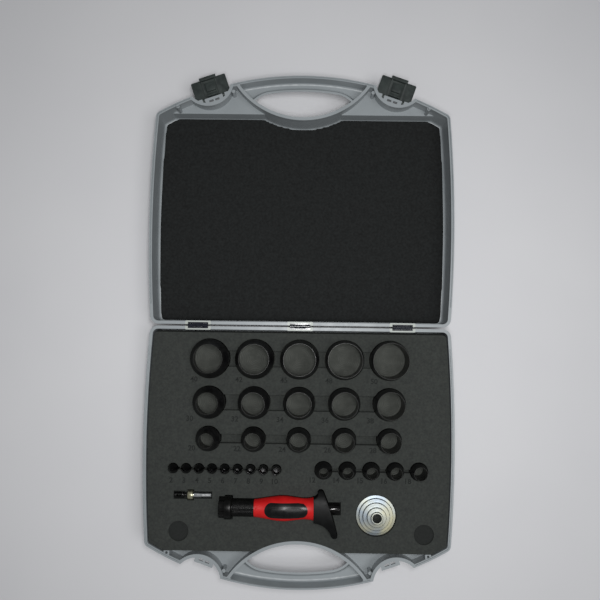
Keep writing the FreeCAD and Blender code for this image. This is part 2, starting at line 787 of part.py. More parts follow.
def grip_plan(outset, z0, z1):
    """The grip's outline seen from above, made wider by outset."""
    curve = Part.BSplineCurve()
    curve.interpolate([at(along, radius + outset, z0) for along, radius in grip_profile()])
    side = curve.toShape()
    other_side = side.mirror(at(0, 0, 0), at(0, 1, 0))
    start = curve.value(curve.FirstParameter)
    end = curve.value(curve.LastParameter)
    front = Part.LineSegment(at(start.x, -start.y, z0), start).toShape()
    back = Part.LineSegment(end, at(end.x, -end.y, z0)).toShape()
    face = Part.Face(Part.Wire([front, side, back, other_side]))
    solid = face.extrude(at(0, 0, z1 - z0))
    solid.translate(at(grip_x, -tool_reach, 0))
    return solid


def stadium(length, width, z0, z1):
    half = length / 2 - width / 2
    block = slab(-half, -width / 2, z0, half, width / 2, z1)
    return joined([block, disc(-half, 0, width / 2, z0, z1), disc(half, 0, width / 2, z0, z1)])


grip_x = tool_nut_x + nut_ring_length + nut_collar_length + sleeve_length


def on_grip(length, width, z0):
    """Stadium-shaped block over the upper side of the grip."""
    block = stadium(length, width, z0, tool_z + 2 * grip_bulge_radius)
    block.translate(at(grip_x + inlay_at, -tool_reach, 0))
    return block


def build_grip():
    grip = laid_along_x(grip_solid(0), at(grip_x, -tool_reach, tool_z))
    seat_z = tool_z + inlay_seat
    block = on_grip(inlay_length, inlay_width, seat_z)
    inlay = grip.common(block)
    strip = laid_along_x(grip_solid(-strip_proud), at(grip_x, -tool_reach, tool_z))
    strip = strip.common(on_grip(strip_length, strip_width, seat_z))
    return grip.cut(block), inlay.fuse(strip).removeSplitter()


def guard_plan(outset, z0, z1):
    """Two-winged guard in plan: the short wing is towards the hinge."""
    tip = guard_tip + outset
    short_tip = at(guard_tip_x, guard_up - guard_tip, z0)
    long_tip = at(guard_tip_x + guard_rake, guard_tip - guard_down, z0)
    along = (long_tip - short_tip).normalize()
    outward = at(-along.y, along.x, 0)
    front_short = short_tip + outward * tip
    front_long = long_tip + outward * tip
    front_middle = (front_short + front_long) / 2 + outward * guard_bow
    back_short = short_tip - outward * tip
    back_long = long_tip - outward * tip
    root_short = at(-outset, grip_back_radius + outset, z0)
    root_long = at(-outset, -grip_back_radius - outset, z0)
    sag_short = (root_short + back_short) / 2 + outward * guard_short_sag
    sag_long = (root_long + back_long) / 2 + outward * guard_long_sag
    edges = [
        Part.LineSegment(root_long, root_short),
        Part.Arc(root_short, sag_short, back_short),
        Part.Arc(back_short, short_tip - along * tip, front_short),
        Part.Arc(front_short, front_middle, front_long),
        Part.Arc(front_long, long_tip + along * tip, back_long),
        Part.Arc(back_long, sag_long, root_long),
    ]
    face = Part.Face(Part.Wire([edge.toShape() for edge in edges]))
    solid = face.extrude(at(0, 0, z1 - z0))
    solid.translate(at(grip_x + grip_length, -tool_reach, 0))
    return solid


def build_guard():
    guard = guard_plan(0, tool_z - guard_depth, tool_z + guard_depth)
    x0 = grip_x + grip_length
    middle = (guard_up - guard_down) / 2
    long_half = (guard_up + guard_down) / 2
    oval = Part.Ellipse(at(0, 0, 0), long_half + over, guard_depth)
    face = Part.Face(Part.Wire([oval.toShape()]))
    oval_bar = face.extrude(at(0, 0, guard_tail + guard_rake + 2 * guard_tip + 2 * over))
    oval_bar.rotate(at(0, 0, 0), at(0, 0, 1), 90)
    oval_bar.rotate(at(0, 0, 0), at(0, 1, 0), 90)
    oval_bar.translate(at(x0 - over, -tool_reach + middle, tool_z))
    return guard.common(oval_bar).cut(build_shank())


def build_shank():
    """Steel core from the sleeve to the struck head."""
    length = grip_length + guard_tail
    core = Part.makeCylinder(shank_radius, length, at(0, 0, 0))
    head = Part.makeCylinder(head_radius, head_length, at(0, 0, length))
    head = head.makeChamfer(head_chamfer, [e for e in head.Edges if e.BoundBox.ZMin > length + over])
    return laid_along_x(core.fuse(head).removeSplitter(), at(grip_x, -tool_reach, tool_z))


def build_sleeve():
    x0 = tool_nut_x + nut_ring_length + nut_collar_length
    sleeve = Part.makeCylinder(sleeve_radius, sleeve_length, at(0, 0, 0))
    spigot = Part.makeCylinder(nut_bore_radius - running_gap, nut_seat_depth, at(0, 0, -nut_seat_depth))
    bore = Part.makeCylinder(sleeve_bore_radius, sleeve_bore_depth + nut_seat_depth,
                             at(0, 0, -nut_seat_depth))
    return laid_along_x(sleeve.fuse(spigot).cut(bore).removeSplitter(), at(x0, -tool_reach, tool_z))


def build_nut():
    """Clamp nut: notched front ring and a wider collar."""
    ring = Part.makeCylinder(nut_ring_radius, nut_ring_length, at(0, 0, 0))
    for i in range(nut_notches):
        notch = slab(nut_ring_radius - nut_notch_depth, -nut_notch_width / 2, -over,
                     nut_ring_radius + over, nut_notch_width / 2, nut_ring_length)
        notch.rotate(at(0, 0, 0), at(0, 0, 1), 360 / nut_notches * i)
        ring = ring.cut(notch)
    collar = Part.makeCylinder(nut_collar_radius, nut_collar_length - running_gap,
                               at(0, 0, nut_ring_length))
    collar = collar.makeChamfer(head_chamfer, collar.Edges[0])
    length = nut_ring_length + nut_collar_length
    bore = Part.makeCylinder(nut_bore_radius, length + 2 * over, at(0, 0, -over))
    return laid_along_x(ring.fuse(collar).cut(bore).removeSplitter(), at(tool_nut_x, -tool_reach, tool_z))


# ---- adaptor and centring pin ----
def build_adaptor():
    """Each step fits the seat bore of one row of ring punches."""
    profile = [(adaptor_bore_radius, 0), (adaptor_flange_radius, 0),
               (adaptor_flange_radius, adaptor_flange)]
    height = adaptor_flange
    for row in (large_row, middle_row, small_row, short_row):
        radius = row["body"] / 2 - punch_wall - adaptor_fit
        profile.append((radius, height))
        height += adaptor_step
        profile.append((radius, height - adaptor_chamfer))
        profile.append((radius - adaptor_chamfer, height))
    profile.append((adaptor_bore_radius, height))
    return turned_round(profile, at(adaptor_x, -adaptor_reach, foam_top - adaptor_pocket_depth + seat_gap))


def build_pin_end():
    end = Part.makeCylinder(pin_end_radius, pin_end_length, at(0, 0, 0))
    neck = Part.makeCylinder(pin_neck_radius, pin_neck_length, at(0, 0, pin_end_length))
    window = stadium(pin_window_length, pin_window_width, -2 * pin_end_radius, 2 * pin_end_radius)
    window.rotate(at(0, 0, 0), at(0, 1, 0), 90)
    window.translate(at(0, 0, pin_end_length / 2))
    return laid_along_x(end.cut(window).fuse(neck).removeSplitter(), at(pin_x, -pin_reach, pin_z))


def build_pin_collar():
    collar = Part.makeCylinder(pin_collar_radius, pin_collar_length,
                               at(0, 0, pin_end_length + pin_neck_length))
    return laid_along_x(collar, at(pin_x, -pin_reach, pin_z))


def build_pin_shank():
    start = pin_end_length + pin_neck_length + pin_collar_length
    body = Part.makeCylinder(pin_shank_radius, pin_shank_length - pin_point, at(0, 0, start))
    point = Part.makeCone(pin_shank_radius, punch_edge, pin_point,
                          at(0, 0, start + pin_shank_length - pin_point))
    return laid_along_x(body.fuse(point).removeSplitter(), at(pin_x, -pin_reach, pin_z))


# ---- every piece, by name ----
pieces = {}
pieces["base_shell"] = build_base_shell()
pieces["lid_shell"] = build_lid_shell()
pieces["base_foam_bed"] = build_foam_bed()
for row_name, strip in build_foam_strips().items():
    pieces["base_foam_%s_row" % row_name] = strip
pieces["lid_foam"] = build_lid_foam()
for place, x in (("left", -hinge_pitch), ("middle", 0), ("right", hinge_pitch)):
    base_leaf, lid_leaf, pin = build_hinge(x)
    pieces["hinge_base_leaf_" + place] = base_leaf
    pieces["hinge_lid_leaf_" + place] = lid_leaf
    pieces["hinge_pin_" + place] = pin
pieces["latch_left"] = build_latch(-1)
pieces["latch_right"] = build_latch(1)
for row in (large_row, middle_row, small_row):
    for x, y, size in row_places(row):
        pieces["punch_%02d" % size] = ring_punch(x, y, size, row["body"], punch_height)
for x, y, size in row_places(short_row):
    pieces["punch_%02d" % size] = ring_punch(x, y, size, short_row["body"], short_height)
for x, y, size in row_places(fine_row):
    pieces["punch_%02d" % size] = fine_punch(x, y, size, fine_row["body"], fine_height)
pieces["grip"], pieces["grip_inlay"] = build_grip()
pieces["hand_guard"] = build_guard()
pieces["striking_shank"] = build_shank()
pieces["chuck_sleeve"] = build_sleeve()
pieces["clamp_nut"] = build_nut()
pieces["stepped_adaptor"] = build_adaptor()
pieces["pin_slotted_end"] = build_pin_end()
pieces["pin_collar"] = build_pin_collar()
pieces["pin_shank"] = build_pin_shank()

for node, shape in pieces.items():
    solids = [solid.copy() for solid in shape.Solids]
    moved = solids[0] if len(solids) == 1 else Part.Compound(solids)
    moved.translate(at(0, origin_shift, 0))
    moved.exportStep("parts/" + node + ".step")
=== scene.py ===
import bpy
import bmesh
import json
import math
from mathutils import Matrix, Vector, noise

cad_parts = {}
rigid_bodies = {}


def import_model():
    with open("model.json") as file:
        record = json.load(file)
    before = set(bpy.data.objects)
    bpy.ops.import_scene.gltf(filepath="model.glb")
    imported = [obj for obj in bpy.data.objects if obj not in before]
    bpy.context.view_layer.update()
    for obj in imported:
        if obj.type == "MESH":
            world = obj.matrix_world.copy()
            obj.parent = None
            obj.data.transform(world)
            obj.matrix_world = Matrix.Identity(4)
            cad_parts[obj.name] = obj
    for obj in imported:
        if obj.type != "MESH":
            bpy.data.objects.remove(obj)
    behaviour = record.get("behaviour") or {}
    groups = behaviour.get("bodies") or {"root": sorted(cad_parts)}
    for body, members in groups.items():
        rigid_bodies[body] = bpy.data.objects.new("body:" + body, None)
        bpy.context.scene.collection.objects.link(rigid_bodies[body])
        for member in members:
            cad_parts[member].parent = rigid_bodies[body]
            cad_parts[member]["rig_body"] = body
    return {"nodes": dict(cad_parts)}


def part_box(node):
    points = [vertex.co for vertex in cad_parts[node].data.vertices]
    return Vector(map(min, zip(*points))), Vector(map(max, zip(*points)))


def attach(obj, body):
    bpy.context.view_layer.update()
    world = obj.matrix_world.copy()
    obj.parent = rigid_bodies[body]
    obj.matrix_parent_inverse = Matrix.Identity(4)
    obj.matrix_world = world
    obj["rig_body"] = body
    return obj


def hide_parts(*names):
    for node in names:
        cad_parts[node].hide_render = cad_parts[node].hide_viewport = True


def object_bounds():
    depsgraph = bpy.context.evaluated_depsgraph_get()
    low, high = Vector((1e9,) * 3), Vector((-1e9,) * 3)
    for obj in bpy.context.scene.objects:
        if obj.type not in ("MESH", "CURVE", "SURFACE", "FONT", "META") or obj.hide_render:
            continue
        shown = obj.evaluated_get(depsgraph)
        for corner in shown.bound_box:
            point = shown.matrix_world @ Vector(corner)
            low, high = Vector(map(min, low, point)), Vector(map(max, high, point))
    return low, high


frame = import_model()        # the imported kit: case open flat, every tool in its pocket
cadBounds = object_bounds()

mm = 0.001
merged = 0.002 * mm             # closer points become one
level = 0.02 * mm               # a point this near a height lies on it
flatAngle = math.radians(0.5)   # faces this close to one plane are joined
print("kit loaded:", len(frame["nodes"]), "pieces of the frame")


# small helpers

def srgb(hexText):
    parts = [int(hexText[i:i + 2], 16) / 255 for i in (0, 2, 4)]
    linear = [c / 12.92 if c <= 0.04045 else ((c + 0.055) / 1.055) ** 2.4 for c in parts]
    return (*linear, 1.0)


def outputOf(node):   # the output in use
    return next(out for out in node.outputs if out.enabled)


def addNode(tree, kind, inputs=None, to=None, **settings):
    node = tree.nodes.new(kind)
    for name, value in settings.items():
        setattr(node, name, value)
    for name, value in (inputs or {}).items():     # by name or number: a value, a socket or a node to link
        if isinstance(value, bpy.types.Node):
            value = outputOf(value)
        if isinstance(value, bpy.types.NodeSocket):
            tree.links.new(value, node.inputs[name])
        else:
            node.inputs[name].default_value = value
    if to is not None:
        tree.links.new(outputOf(node), to)
    return node


def calculate(tree, operation, *terms):
    return addNode(tree, "ShaderNodeMath", dict(enumerate(terms)), operation=operation)


def spread(tree, value, fromLow, fromHigh, toLow=0.0, toHigh=1.0, to=None):   # one range onto another
    return addNode(tree, "ShaderNodeMapRange", {0: value, 1: fromLow, 2: fromHigh, 3: toLow, 4: toHigh}, to)


def blend(tree, share, first, second, to=None):   # two colours, each as hex text or as a node
    first, second = (srgb(colour) if isinstance(colour, str) else colour for colour in (first, second))
    return addNode(tree, "ShaderNodeMix", {0: share, 6: first, 7: second}, to, data_type="RGBA")


def clouds(tree, coords, acrossMm, detail):   # soft noise
    return addNode(tree, "ShaderNodeTexNoise",
                   {"Vector": coords, "Scale": 1 / (acrossMm * mm), "Detail": detail})


def relief(tree, height, depthMm, strength, under=None, to=None):   # shading bumps, over those under it
    inputs = {"Height": height, "Distance": depthMm * mm, "Strength": strength}
    if under is not None:
        inputs["Normal"] = under
    return addNode(tree, "ShaderNodeBump", inputs, to)


def setInputs(shader, values):
    for name, value in values.items():
        shader.inputs[name].default_value = value


def newMaterial(name):   # returns the material, its tree, the shader and the object's own coordinates
    material = bpy.data.materials.new(name)
    material.use_nodes = True
    tree = material.node_tree
    coords = addNode(tree, "ShaderNodeTexCoord").outputs["Object"]
    return material, tree, tree.nodes["Principled BSDF"], coords


def meshObject(name, mesh):
    obj = bpy.data.objects.new(name, mesh)
    bpy.context.scene.collection.objects.link(obj)
    return obj


def meshFrom(bm, name, *materials):   # uses the bmesh up
    mesh = bpy.data.meshes.new(name)
    bm.to_mesh(mesh)
    bm.free()
    for material in materials:
        mesh.materials.append(material)
    return mesh


def cleanCopy(node):   # merged copy of a CAD node's mesh, flats joined up
    bm = bmesh.new()
    bm.from_mesh(frame["nodes"][node].data)
    bmesh.ops.remove_doubles(bm, verts=bm.verts, dist=merged)
    bmesh.ops.dissolve_limit(bm, angle_limit=flatAngle, verts=bm.verts, edges=bm.edges)
    return bm


def shadeByAngle(mesh, degrees=32):   # smooth faces with sharp edges past the angle
    bm = bmesh.new()
    bm.from_mesh(mesh)
    limit = math.radians(degrees)
    for face in bm.faces:
        face.smooth = True
    for edge in bm.edges:
        edge.smooth = len(edge.link_faces) == 2 and edge.calc_face_angle(0) < limit
    bm.to_mesh(mesh)
    bm.free()


def middle(node):
    low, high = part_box(node)
    return (low + high) / 2


# camera, light and table

cameraSettings = {
    "height": 850,                  # lens above the rims, mm
    "aside": 6.8, "towardsBase": 11.1,   # from the hinge's middle, mm
    "tilt": (3.30, 0.46, 0.78),     # degrees
    "lens": 35.71, "sensor": 36.0,
}


def makeCamera():
    data = bpy.data.cameras.new("camera")
    data.lens = cameraSettings["lens"]
    data.sensor_width = cameraSettings["sensor"]
    data.clip_start = 0.01
    camera = meshObject("camera", data)
    hinge = middle("hinge_pin_middle")
    camera.location = (cameraSettings["aside"] * mm, hinge.y - cameraSettings["towardsBase"] * mm,
                       hinge.z + cameraSettings["height"] * mm)
    camera.rotation_euler = [math.radians(angle) for angle in cameraSettings["tilt"]]
    bpy.context.scene.camera = camera


lightSettings = {
    "skyColour": "f4f6f8", "sky": 0.22,     # even light from all round
    "lamps": {                              # place (m), width and length (m), power (W)
        "lampByCamera": ((0.03, 0.15, 0.96), (0.36, 0.09), 5.6),
        "softbox": ((0.8, -0.15, 1.75), (0.8, 0.8), 8.4),
    },
}


def makeLights():
    world = bpy.data.worlds.new("room")
    bpy.context.scene.world = world
    world.use_nodes = True
    setInputs(world.node_tree.nodes["Background"],
              {"Color": srgb(lightSettings["skyColour"]), "Strength": lightSettings["sky"]})
    target = (cadBounds[0] + cadBounds[1]) / 2
    for name, (place, size, power) in lightSettings["lamps"].items():
        data = bpy.data.lights.new(name, "AREA")
        data.shape = "RECTANGLE"
        data.size, data.size_y = size
        data.energy = power
        lamp = meshObject(name, data)
        lamp.location = place
        lamp.rotation_euler = (Vector(place) - target).to_track_quat("Z", "Y").to_euler()


tableSettings = {
    "colours": ("cfcfd2", "d6d6d8"), "cloudAcross": 180,    # mm
    "rough": 0.75,
    "halfWidth": 6.0,               # m, past the edges of any view
}


def makeTable():
    material, tree, shader, coords = newMaterial("table_board")   # plain coated board, matt, faint unevenness
    cloud = clouds(tree, coords, acrossMm=tableSettings["cloudAcross"], detail=2)
    blend(tree, cloud, *tableSettings["colours"], to=shader.inputs["Base Color"])
    setInputs(shader, {"Roughness": tableSettings["rough"]})
    bm = bmesh.new()
    bmesh.ops.create_grid(bm, x_segments=1, y_segments=1, size=tableSettings["halfWidth"])
    mesh = meshFrom(bm, "table", material)
    mesh.transform(Matrix.Translation((0, 0, cadBounds[0].z)))
    meshObject("table", mesh)


makeCamera()
makeLights()
makeTable()
bpy.context.scene.view_settings.view_transform = "Standard"
print("camera, light and table made")


# materials, each worked out from the real stuff and how it was made

mostOfNoise = (0.3, 0.7)            # a noise stays mostly between these
coreOfNoise = (0.35, 0.65)
caseSkin = {                        # lengths in mm
    "colours": ("8a9093", "91979a"), "cloudAcross": 70,
    "insert": "a6aca6",             # inserts round the hinges, polished brighter: where each fades out
    "insertAside": (18.0, 18.6), "insertReach": (6.2, 6.8), "insertBelow": (3.2, 2.4),
    "markAcross": 12, "rough": (0.34, 0.46),        # finger marks
    "grain": 1.1, "grainDepth": 0.05,       # the real texture is 0.2 mm, drawn coarser to show
}


def hingeInserts(tree, coords):   # one on the inserts round the three hinges, nought elsewhere
    fadeX, fadeY, fadeZ = ([edge * mm for edge in caseSkin[key]]
                           for key in ("insertAside", "insertReach", "insertBelow"))
    side, centre = middle("hinge_pin_right"), middle("hinge_pin_middle")
    place = addNode(tree, "ShaderNodeSeparateXYZ", {0: coords}).outputs
    aside = calculate(tree, "ABSOLUTE", place["X"])
    offSide = calculate(tree, "ABSOLUTE", calculate(tree, "SUBTRACT", aside, abs(side.x)))
    offY = calculate(tree, "ABSOLUTE", calculate(tree, "SUBTRACT", place["Y"], centre.y))
    inX = spread(tree, calculate(tree, "MINIMUM", offSide, aside), *fadeX, 1, 0)
    inY = spread(tree, offY, *fadeY, 1, 0)
    inZ = spread(tree, place["Z"], *[centre.z - below for below in fadeZ])
    return calculate(tree, "MULTIPLY", calculate(tree, "MULTIPLY", inX, inY), inZ)


def mouldedPolypropylene():   # injection-moulded case: satin, fine spark texture, faint flow clouds
    material, tree, shader, coords = newMaterial("moulded_polypropylene")
    flow = clouds(tree, coords, acrossMm=caseSkin["cloudAcross"], detail=3)
    shade = blend(tree, spread(tree, flow, *coreOfNoise), *caseSkin["colours"])
    blend(tree, hingeInserts(tree, coords), shade, caseSkin["insert"], to=shader.inputs["Base Color"])
    handled = clouds(tree, coords, acrossMm=caseSkin["markAcross"], detail=4)
    spread(tree, handled, *mostOfNoise, *caseSkin["rough"], to=shader.inputs["Roughness"])
    grain = clouds(tree, coords, acrossMm=caseSkin["grain"], detail=3)
    relief(tree, grain, depthMm=caseSkin["grainDepth"], strength=0.5, to=shader.inputs["Normal"])
    setInputs(shader, {"IOR": 1.49})
    return material


foamSkin = {                        # lengths in mm
    "cloudAcross": 9, "cloudShare": 0.3,
    "flecksPerCell": 0.45, "fleckShare": 0.7, "fleckDepth": 0.3,
    "cellDepth": 0.25,
}
swirl = {                           # rings left on the pocket floors by the cutter; the floors' colour is painted light against their shade
    "pitch": 2.4,                   # mm
    "crest": "585a56", "crestRange": (0.2, 1),      # share of the wave that shows
    "patchAcross": 14, "patchRange": (0.42, 0.62),  # mm, and the share of the noise where it shows
    "floor": ("3b3d3a", "464844"),  # painted light: paler than the top, to make up for the shade down in the pockets
}


def pocketFloors(tree, coords, mottle, shade):   # paints the pocket floors lighter against their shade, and lays the cutter's rings over the foam's colour
    offset = addNode(tree, "ShaderNodeAttribute", attribute_name="pocket").outputs["Vector"]
    parts = addNode(tree, "ShaderNodeSeparateXYZ", {0: offset}).outputs
    # painted light: the floors are drawn paler to lift the shade in the pockets
    shade = blend(tree, parts["Z"], shade, blend(tree, mottle, *swirl["floor"]))
    flat = addNode(tree, "ShaderNodeCombineXYZ", {"X": parts["X"], "Y": parts["Y"]})
    radius = addNode(tree, "ShaderNodeVectorMath", {0: flat}, operation="LENGTH").outputs["Value"]
    wave = calculate(tree, "SINE", calculate(tree, "MULTIPLY", radius, 2 * math.pi / (swirl["pitch"] * mm)))
    patchy = clouds(tree, coords, acrossMm=swirl["patchAcross"], detail=2)
    crest = calculate(tree, "MULTIPLY", spread(tree, wave, *swirl["crestRange"]),
                      spread(tree, patchy, *swirl["patchRange"]))
    return blend(tree, calculate(tree, "MULTIPLY", crest, parts["Z"]), shade, swirl["crest"])


def cellFoam(name, dark, light, cellMm, hasPockets=False):   # foam: matt, pitted by its cells, mottled
    material, tree, shader, coords = newMaterial(name)
    cloud = clouds(tree, coords, acrossMm=foamSkin["cloudAcross"], detail=4)
    fleck = addNode(tree, "ShaderNodeTexNoise",
                    {"Vector": coords, "Scale": foamSkin["flecksPerCell"] / (cellMm * mm), "Detail": 2})
    mottle = calculate(tree, "ADD", spread(tree, cloud, *mostOfNoise, 0, foamSkin["cloudShare"]),
                       spread(tree, fleck, *mostOfNoise, 0, foamSkin["fleckShare"]))
    shade = blend(tree, mottle, dark, light)
    if hasPockets:
        shade = pocketFloors(tree, coords, mottle, shade)
    tree.links.new(outputOf(shade), shader.inputs["Base Color"])
    setInputs(shader, {"Roughness": 0.95, "Specular IOR Level": 0.25})
    cells = addNode(tree, "ShaderNodeTexVoronoi", {"Vector": coords, "Scale": 1 / (cellMm * mm)})
    pits = relief(tree, cells, depthMm=foamSkin["cellDepth"], strength=0.6)
    relief(tree, fleck, depthMm=foamSkin["fleckDepth"], strength=0.35, under=pits, to=shader.inputs["Normal"])
    return material


def pressedFoam():   # the same foam, its cells closed by a hot stamp for the numbers: darker and smoother. It also darkens the recess floors, and is laid on the bed's top in the gap by the hinges as painted shadow
    material, tree, shader, coords = newMaterial("pressed_polyethylene_foam")
    uneven = clouds(tree, coords, acrossMm=3, detail=2)
    blend(tree, uneven, "1f2120", "2a2c2b", to=shader.inputs["Base Color"])
    setInputs(shader, {"Roughness": 0.85, "Specular IOR Level": 0.15})
    return material


def mouldedPlastic(name, dark, light, rough, textureMm, gloss=0.5):   # small moulded parts
    material, tree, shader, coords = newMaterial(name)
    flow = clouds(tree, coords, acrossMm=8, detail=3)
    blend(tree, spread(tree, flow, *coreOfNoise), dark, light, to=shader.inputs["Base Color"])
    spread(tree, flow, *mostOfNoise, rough - 0.06, rough + 0.06, to=shader.inputs["Roughness"])
    texture = clouds(tree, coords, acrossMm=textureMm, detail=2)
    relief(tree, texture, depthMm=0.04, strength=0.5, to=shader.inputs["Normal"])
    setInputs(shader, {"IOR": 1.49, "Specular IOR Level": gloss})
    return material


def turnedSteel(name, dark, light, marks, rough, metallic, marksMm, centre=(0, 0, 0), worn=None,
                stainMm=5, cut=0.03, gloss=0.5):   # off the lathe: marks so many mm apart and cut so deep
    material, tree, shader, coords = newMaterial(name)
    stain = clouds(tree, coords, acrossMm=stainMm, detail=4)
    shade = blend(tree, spread(tree, stain, *coreOfNoise), dark, light)
    if worn:                                         # black oxide rubbed off where the edge is ground
        edge = addNode(tree, "ShaderNodeAttribute", attribute_name="worn").outputs["Fac"]
        broken = spread(tree, clouds(tree, coords, acrossMm=2.5, detail=3), 0.3, 0.6, 0.35)
        shade = blend(tree, calculate(tree, "MULTIPLY", edge, broken), shade, worn)
    tree.links.new(outputOf(shade), shader.inputs["Base Color"])
    spread(tree, stain, *mostOfNoise, rough - 0.05, rough + 0.08, to=shader.inputs["Roughness"])
    moved = addNode(tree, "ShaderNodeMapping", {"Vector": coords, "Location": [-c for c in centre]})
    wavesPerMark = 0.314                             # brings the wave texture's scale to one band to a mark
    lathe = addNode(tree, "ShaderNodeTexWave", {"Vector": moved, "Scale": wavesPerMark / (marksMm * mm),
                                                "Distortion": 0.5, "Detail": 1.0}, **marks)
    relief(tree, lathe, depthMm=cut, strength=0.35, to=shader.inputs["Normal"])
    setInputs(shader, {"Metallic": metallic, "Specular IOR Level": gloss})
    return material


stipple = {"pitch": 1.5, "height": 0.4, "reach": 12, "fade": 6}     # mm; the reach is from the grip's end


def mouldedRubber(name, dark, light, rough, gloss, stippleUpTo=None):   # skin, stippled at the sleeve's end
    material, tree, shader, coords = newMaterial(name)
    flow = clouds(tree, coords, acrossMm=15, detail=3)
    blend(tree, spread(tree, flow, *coreOfNoise), dark, light, to=shader.inputs["Base Color"])
    spread(tree, flow, *mostOfNoise, rough - 0.04, rough + 0.06, to=shader.inputs["Roughness"])
    skin = relief(tree, clouds(tree, coords, acrossMm=0.9, detail=2), depthMm=0.04, strength=0.5)
    if stippleUpTo is not None:
        dots = addNode(tree, "ShaderNodeTexVoronoi", {"Vector": coords, "Scale": 1 / (stipple["pitch"] * mm)})
        along = addNode(tree, "ShaderNodeSeparateXYZ", {0: coords}).outputs["X"]
        here = spread(tree, along, stippleUpTo - stipple["fade"] * mm, stippleUpTo, 1, 0)
        raised = calculate(tree, "MULTIPLY", dots, here)
        skin = relief(tree, raised, depthMm=stipple["height"], strength=0.7, under=skin)
    tree.links.new(outputOf(skin), shader.inputs["Normal"])
    setInputs(shader, {"IOR": 1.5, "Specular IOR Level": gloss})
    return material


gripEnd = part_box("grip")[0].x
acrossX = {"wave_type": "BANDS", "bands_direction": "X"}
acrossZ = {"wave_type": "BANDS", "bands_direction": "Z"}
roundZ = {"wave_type": "RINGS", "rings_direction": "Z"}
finishes = {
    "case": mouldedPolypropylene(),
    "foam": cellFoam("crosslinked_polyethylene_foam", "2d2f2e", "3a3d3a", cellMm=1.3, hasPockets=True),
    "pressed": pressedFoam(),
    "lidFoam": cellFoam("open_cell_polyurethane_foam", "151616", "222424", cellMm=1.6),
    "latch": mouldedPlastic("moulded_latch_nylon", "262c2b", "323937", rough=0.45, textureMm=0.9, gloss=0.4),
    "hinge": mouldedPlastic("moulded_hinge_nylon", "11141b", "1a1e28", rough=0.2, textureMm=5.0),
    "hingePin": turnedSteel("drawn_pin_steel", "7f8386", "9a9d9f", acrossX, rough=0.3, metallic=1.0,
                            marksMm=1.0),
    "punch": turnedSteel("black_oxide_punch_steel", "0a0a0b", "141415", acrossZ, rough=0.32, metallic=0.2,
                         marksMm=1.0, worn="1d1d1c", gloss=0.35),
    "finePunch": turnedSteel("black_oxide_fine_steel", "070708", "101011", acrossZ, rough=0.24, metallic=0.5,
                             marksMm=1.0, cut=0.01),
    "tool": turnedSteel("blackened_tool_steel", "050505", "0c0c0b", acrossX, rough=0.26, metallic=0.1,
                        marksMm=1.0, gloss=0.25),
    "struck": turnedSteel("blackened_shank_steel", "121212", "1d1c1b", acrossX, rough=0.14, metallic=0.7,
                          marksMm=1.0, cut=0.008),
    "red": mouldedRubber("moulded_red_rubber", "b30f12", "c61a19", rough=0.42, gloss=0.35,
                         stippleUpTo=gripEnd + stipple["reach"] * mm),
    "black": mouldedRubber("moulded_black_rubber", "070808", "0e0f0f", rough=0.45, gloss=0.12),
    "inlay": mouldedPlastic("glossy_inlay_plastic", "0b0c0c", "131414", rough=0.3, textureMm=2.0, gloss=0.28),
    "zinc": turnedSteel("bright_zinc_plate", "98a2aa", "b7b49a", roundZ, rough=0.44, metallic=1.0,
                        marksMm=0.8, centre=middle("stepped_adaptor"), stainMm=28, cut=0.003),
    "steel": turnedSteel("ground_pin_steel", "c9cccd", "dcdedd", acrossX, rough=0.22, metallic=1.0,
                         marksMm=0.9, cut=0.01),
    "brassy": turnedSteel("yellow_passivated_collar", "c3bf9d", "d8d5bc", acrossX, rough=0.22, metallic=1.0,
                          marksMm=0.9, cut=0.01),
}
print("materials made:", len(finishes))


# CAD pieces whose shape is right get their finish

dressing = {
    "base_shell": "case", "lid_shell": "case", "hinge_base_leaf": "hinge", "hinge_lid_leaf": "hinge",
    "hinge_pin": "hingePin", "grip": "red", "chuck_sleeve": "tool",
}
for name, obj in frame["nodes"].items():
    for start, finish in dressing.items():
        if name.startswith(start):
            for slot in obj.material_slots:
                slot.material = finishes[finish]
print("CAD pieces dressed")


# base foam: bed and die-cut sheet in one, pocket edges rounded by the cutter, sizes stamped beside them

foamSettings = {
    "rounding": 0.7,                # rolled-over edge of each cut, mm
    "digitHeight": 7.5, "digitDepth": 0.5, "digitBold": 0.22,      # stamped numbers, mm
    "capital": 0.73,                # capital height of the built-in font, as a share of its size
    "recessDepth": 2.5,
    "pocketBorder": 1.5,            # floor round a punch, mm
    "shrunk": 2.3, "shrunkEdge": 8,     # drawn back from the hinge side, mm, and over what strip
    "digitPlaces": [                # biggest size of the row, then the offset from the punch, mm
        (10, -2.7, -17.0), (18, -16.0, -14.0), (28, -23.0, -14.0), (38, -27.0, -23.5), (50, -22.0, -30.0),
    ],
}
foamRows = sorted(name for name in frame["nodes"]
                  if name.startswith("base_foam_") and name != "base_foam_bed")
rowBoxes = [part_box(name) for name in foamRows]
sheetLow = Vector([min(low[i] for low, high in rowBoxes) for i in range(3)])
sheetHigh = Vector([max(high[i] for low, high in rowBoxes) for i in range(3)])
punchSizes = {name: int(name[-2:]) for name in sorted(frame["nodes"]) if name.startswith("punch_")}     # mm
firstRing = 12                  # smaller punches are slim ones on a shank


def facesUp(face):
    return face.normal.z > 0.9


def liesAt(face, height, tolerance=0.1 * mm):
    return abs(face.center.z - height) < tolerance


def byHinges(y):
    return y > sheetHigh.y - foamSettings["shrunkEdge"] * mm


def drawBack(bm):   # the sheet stands off the hinge side, which leaves a gap over the bed; the bed's top there is painted dark as shadow
    for vert in bm.verts:
        if byHinges(vert.co.y):
            vert.co.y -= foamSettings["shrunk"] * mm


